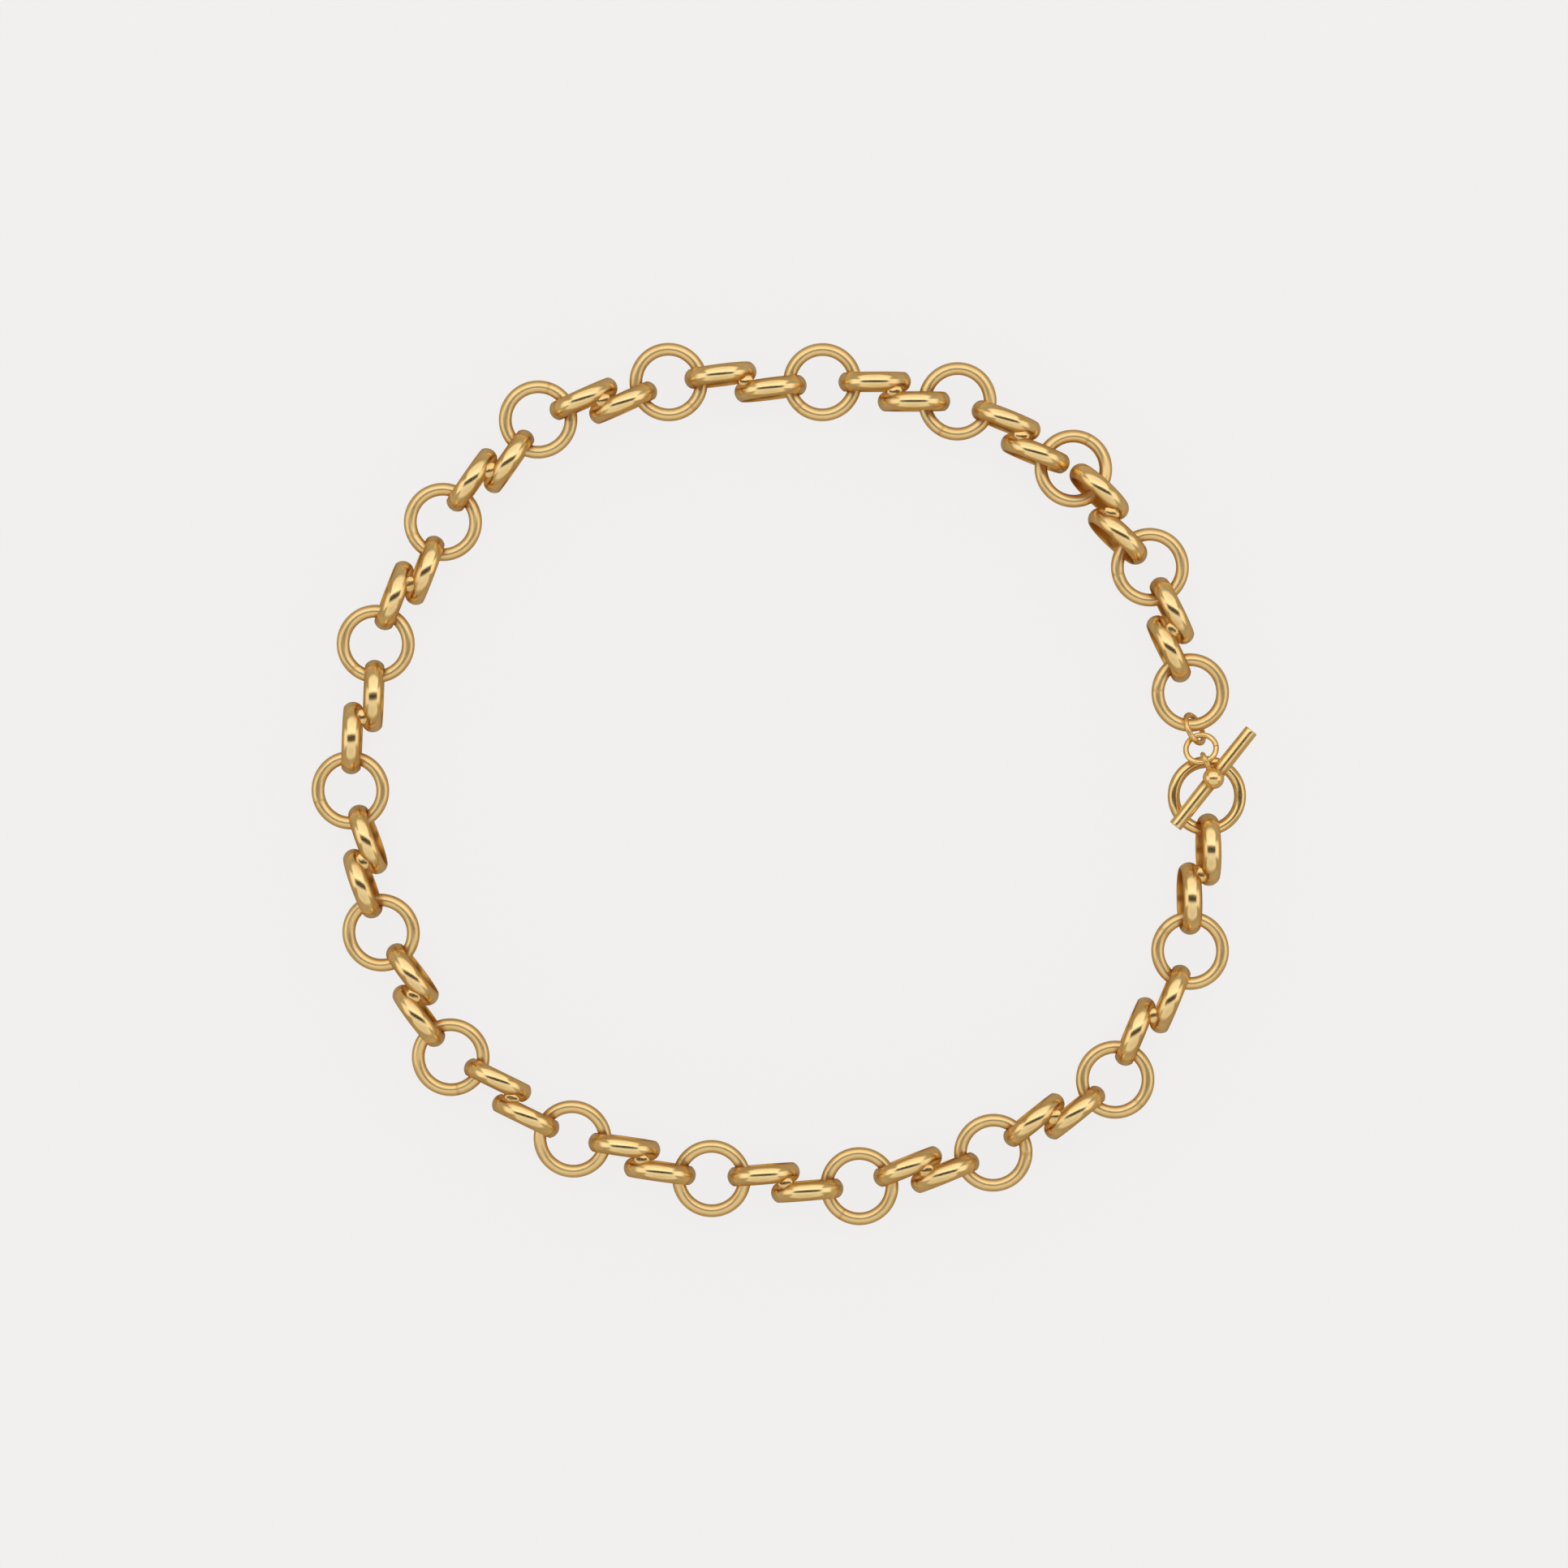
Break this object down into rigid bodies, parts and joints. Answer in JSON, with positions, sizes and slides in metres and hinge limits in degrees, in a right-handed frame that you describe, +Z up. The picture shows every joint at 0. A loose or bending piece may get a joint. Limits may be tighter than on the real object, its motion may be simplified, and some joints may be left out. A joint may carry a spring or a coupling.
{
  "type": "chain necklace",
  "caption": "Gold-plated chain necklace of round wire rings and double-loop links, laid in a loop with a toggle bar and ring clasp.",
  "frame": {"origin": "on the table, under the centre of the necklace's bounding box", "axes": "+Z up from the table that it lies on; +X towards the clasp; +Y from the clasp ring along the jump rings"},
  "size_m": [0.1614, 0.1508, 0.0124],
  "materials": {
    "ring_gold": "polished gold plate",
    "link_gold": "polished gold plate, lightly tumbled",
    "clasp_gold": "polished gold plate"
  },
  "bodies": {
    "jump_ring_1": {"jump_ring_1": "clasp_gold"},
    "jump_ring_2": {"jump_ring_2": "clasp_gold"},
    "link_01": {"link_01": "link_gold"},
    "link_02": {"link_02": "link_gold"},
    "link_03": {"link_03": "link_gold"},
    "link_04": {"link_04": "link_gold"},
    "link_05": {"link_05": "link_gold"},
    "link_06": {"link_06": "link_gold"},
    "link_07": {"link_07": "link_gold"},
    "link_08": {"link_08": "link_gold"},
    "link_09": {"link_09": "link_gold"},
    "link_10": {"link_10": "link_gold"},
    "link_11": {"link_11": "link_gold"},
    "link_12": {"link_12": "link_gold"},
    "link_13": {"link_13": "link_gold"},
    "link_14": {"link_14": "link_gold"},
    "link_15": {"link_15": "link_gold"},
    "link_16": {"link_16": "link_gold"},
    "link_17": {"link_17": "link_gold"},
    "link_18": {"link_18": "link_gold"},
    "ring_01": {"ring_01": "ring_gold"},
    "ring_02": {"ring_02": "ring_gold"},
    "ring_03": {"ring_03": "ring_gold"},
    "ring_04": {"ring_04": "ring_gold"},
    "ring_05": {"ring_05": "ring_gold"},
    "ring_06": {"ring_06": "ring_gold"},
    "ring_07": {"ring_07": "ring_gold"},
    "ring_08": {"ring_08": "ring_gold"},
    "ring_09": {"ring_09": "ring_gold"},
    "ring_10": {"ring_10": "ring_gold"},
    "ring_11": {"ring_11": "ring_gold"},
    "ring_12": {"ring_12": "ring_gold"},
    "ring_13": {"ring_13": "ring_gold"},
    "ring_14": {"ring_14": "ring_gold"},
    "ring_15": {"ring_15": "ring_gold"},
    "ring_16": {"ring_16": "ring_gold"},
    "ring_17": {"ring_17": "ring_gold"},
    "ring_18": {"ring_18": "ring_gold"},
    "toggle_bar": {"toggle_bar": "clasp_gold"},
    "toggle_ring": {"toggle_ring": "clasp_gold"}
  },
  "joints": [
    {"name": "link_09_slide_round", "type": "hinge", "parent": "ring_09", "child": "link_09", "pos_m": [-0.07412, -0.00107, 0.00561], "axis": [0.1045, 0.0022, -0.9945], "range_deg": [0, 75]},
    {"name": "link_10_slide_round", "type": "hinge", "parent": "ring_09", "child": "link_10", "pos_m": [-0.07412, -0.00107, 0.00561], "axis": [-0.1045, -0.0022, 0.9945], "range_deg": [0, 75]},
    {"name": "ring_08_swing", "type": "hinge", "parent": "link_09", "child": "ring_08", "pos_m": [-0.07079, -0.02014, 0.00562], "axis": [0.9251, 0.3376, 0.1736], "range_deg": [0, 60]},
    {"name": "ring_10_swing", "type": "hinge", "parent": "link_10", "child": "ring_10", "pos_m": [-0.07, 0.01835, 0.00572], "axis": [-0.9971, 0.0357, -0.0666], "range_deg": [0, 55]},
    {"name": "link_08_slide_round", "type": "hinge", "parent": "ring_08", "child": "link_08", "pos_m": [-0.06886, -0.0254, 0.00561], "axis": [-0.1625, -0.0613, 0.9848], "range_deg": [-75, 0]},
    {"name": "link_11_slide_round", "type": "hinge", "parent": "ring_10", "child": "link_11", "pos_m": [-0.06979, 0.02395, 0.00561], "axis": [0.0658, -0.0231, -0.9976], "range_deg": [-75, 0]},
    {"name": "ring_07_swing", "type": "hinge", "parent": "link_08", "child": "ring_07", "pos_m": [-0.06036, -0.04224, 0.00569], "axis": [-0.7877, -0.596, -0.1557], "range_deg": [-60, 0]},
    {"name": "ring_11_swing", "type": "hinge", "parent": "link_11", "child": "ring_11", "pos_m": [-0.06026, 0.03955, 0.00571], "axis": [-0.9346, 0.3493, -0.0673], "range_deg": [-60, 0]},
    {"name": "link_07_slide_round", "type": "hinge", "parent": "ring_07", "child": "link_07", "pos_m": [-0.05697, -0.0467, 0.00561], "axis": [0.115, 0.106, -0.9877], "range_deg": [0, 75]},
    {"name": "link_12_slide_round", "type": "hinge", "parent": "ring_11", "child": "link_12", "pos_m": [-0.0583, 0.04479, 0.00561], "axis": [-0.0565, 0.0409, 0.9976], "range_deg": [0, 75]},
    {"name": "ring_06_swing", "type": "hinge", "parent": "link_07", "child": "ring_06", "pos_m": [-0.04116, -0.05822, 0.00563], "axis": [0.4334, 0.8843, 0.1736], "range_deg": [0, 60]},
    {"name": "ring_12_swing", "type": "hinge", "parent": "link_12", "child": "ring_12", "pos_m": [-0.04522, 0.0577, 0.00561], "axis": [0.8219, -0.5696, 0], "range_deg": [0, 60]},
    {"name": "link_06_slide_round", "type": "hinge", "parent": "ring_06", "child": "link_06", "pos_m": [-0.03613, -0.06068, 0.00561], "axis": [-0.0731, -0.1575, 0.9848], "range_deg": [-75, 0]},
    {"name": "link_13_slide_round", "type": "hinge", "parent": "ring_12", "child": "link_13", "pos_m": [-0.04203, 0.0623, 0.00561], "axis": [0, 0, -1], "range_deg": [-75, 0]},
    {"name": "ring_05_swing", "type": "hinge", "parent": "link_06", "child": "ring_05", "pos_m": [-0.01793, -0.06666, 0.00559], "axis": [-0.1372, -0.9807, -0.1391], "range_deg": [-60, 0]},
    {"name": "ring_13_swing", "type": "hinge", "parent": "link_13", "child": "ring_13", "pos_m": [-0.02482, 0.06638, 0.00561], "axis": [-0.4136, 0.9105, 0], "range_deg": [-60, 0]},
    {"name": "link_05_slide_round", "type": "hinge", "parent": "ring_05", "child": "link_05", "pos_m": [-0.01239, -0.06744, 0.00561], "axis": [0.0228, 0.1373, -0.9903], "range_deg": [0, 75]},
    {"name": "link_14_slide_round", "type": "hinge", "parent": "ring_13", "child": "link_14", "pos_m": [-0.01972, 0.0687, 0.00561], "axis": [0, 0, 1], "range_deg": [0, 75]},
    {"name": "ring_04_swing", "type": "hinge", "parent": "link_05", "child": "ring_04", "pos_m": [0.00729, -0.06921, 0.00561], "axis": [-0.083, 0.9927, 0.0871], "range_deg": [0, 60]},
    {"name": "ring_14_swing", "type": "hinge", "parent": "link_14", "child": "ring_14", "pos_m": [0.00101, 0.06796, 0.00561], "axis": [0.1286, -0.9917, 0], "range_deg": [0, 60]},
    {"name": "link_04_slide_round", "type": "hinge", "parent": "ring_04", "child": "link_04", "pos_m": [0.01287, -0.06874, 0.00561], "axis": [0.0084, -0.0868, 0.9962], "range_deg": [-75, 0]},
    {"name": "link_15_slide_round", "type": "hinge", "parent": "ring_14", "child": "link_15", "pos_m": [0.00656, 0.06868, 0.00561], "axis": [0, 0, -1], "range_deg": [-75, 0]},
    {"name": "ring_03_swing", "type": "hinge", "parent": "link_04", "child": "ring_03", "pos_m": [0.03059, -0.06515, 0.00561], "axis": [0.3782, -0.9231, -0.0698], "range_deg": [-60, 0]},
    {"name": "ring_15_swing", "type": "hinge", "parent": "link_15", "child": "ring_15", "pos_m": [0.02404, 0.06537, 0.00567], "axis": [-0.006, 0.9994, -0.0329], "range_deg": [-60, 0]},
    {"name": "link_03_slide_round", "type": "hinge", "parent": "ring_03", "child": "link_03", "pos_m": [0.03577, -0.06303, 0.00561], "axis": [-0.0267, 0.0645, -0.9976], "range_deg": [0, 75]},
    {"name": "link_16_slide_round", "type": "hinge", "parent": "ring_15", "child": "link_16", "pos_m": [0.02964, 0.06541, 0.00561], "axis": [0.0114, 0.033, 0.9994], "range_deg": [0, 75]},
    {"name": "ring_02_swing", "type": "hinge", "parent": "link_03", "child": "ring_02", "pos_m": [0.05226, -0.05406, 0.00561], "axis": [-0.6292, 0.7772, 0], "range_deg": [0, 60]},
    {"name": "ring_16_swing", "type": "hinge", "parent": "link_16", "child": "ring_16", "pos_m": [0.04426, 0.05597, 0.0059], "axis": [-0.3583, -0.9219, 0.1473], "range_deg": [0, 25]},
    {"name": "link_02_slide_round", "type": "hinge", "parent": "ring_02", "child": "link_02", "pos_m": [0.05661, -0.05053, 0.00561], "axis": [0, 0, 1], "range_deg": [-75, 0]},
    {"name": "link_17_slide_round", "type": "hinge", "parent": "ring_16", "child": "link_17", "pos_m": [0.04946, 0.05391, 0.00561], "axis": [0.1029, 0.1178, 0.9877], "range_deg": [-25, 0]},
    {"name": "ring_01_swing", "type": "hinge", "parent": "link_02", "child": "ring_01", "pos_m": [0.06727, -0.03367, 0.00565], "axis": [0.9187, -0.3809, -0.1042], "range_deg": [-60, 0]},
    {"name": "ring_17_swing", "type": "hinge", "parent": "link_17", "child": "ring_17", "pos_m": [0.05845, 0.04088, 0.0057], "axis": [0.6809, 0.7307, -0.0494], "range_deg": [-60, 0]},
    {"name": "link_01_slide_round", "type": "hinge", "parent": "ring_01", "child": "link_01", "pos_m": [0.06941, -0.02849, 0.00561], "axis": [-0.0993, 0.0326, -0.9945], "range_deg": [0, 75]},
    {"name": "link_18_slide_round", "type": "hinge", "parent": "ring_17", "child": "link_18", "pos_m": [0.06255, 0.03706, 0.00561], "axis": [-0.0463, -0.0244, -0.9986], "range_deg": [0, 75]},
    {"name": "ring_18_swing", "type": "hinge", "parent": "link_18", "child": "ring_18", "pos_m": [0.06695, 0.02064, 0.00575], "axis": [-0.8894, -0.4458, 0.1011], "range_deg": [0, 60]},
    {"name": "toggle_ring_swing", "type": "hinge", "parent": "link_01", "child": "toggle_ring", "pos_m": [0.0724, -0.00779, 0.00557], "axis": [-0.9875, -0.0206, 0.1563], "range_deg": [0, 60]},
    {"name": "jump_ring_1_slide_round", "type": "hinge", "parent": "ring_18", "child": "jump_ring_1", "pos_m": [0.06944, 0.01563, 0.00561], "axis": [0.1023, 0.0216, 0.9945], "range_deg": [-75, 0]},
    {"name": "jump_ring_2_swing", "type": "hinge", "parent": "jump_ring_1", "child": "jump_ring_2", "pos_m": [0.07042, 0.00819, 0.0066], "axis": [0.9397, 0.342, 0], "range_deg": [-60, 0]},
    {"name": "toggle_bar_swing", "type": "hinge", "parent": "jump_ring_2", "child": "toggle_bar", "pos_m": [0.072, 0.00386, 0.00901], "axis": [0.9397, 0.342, 0], "range_deg": [-60, 0]}
  ]
}
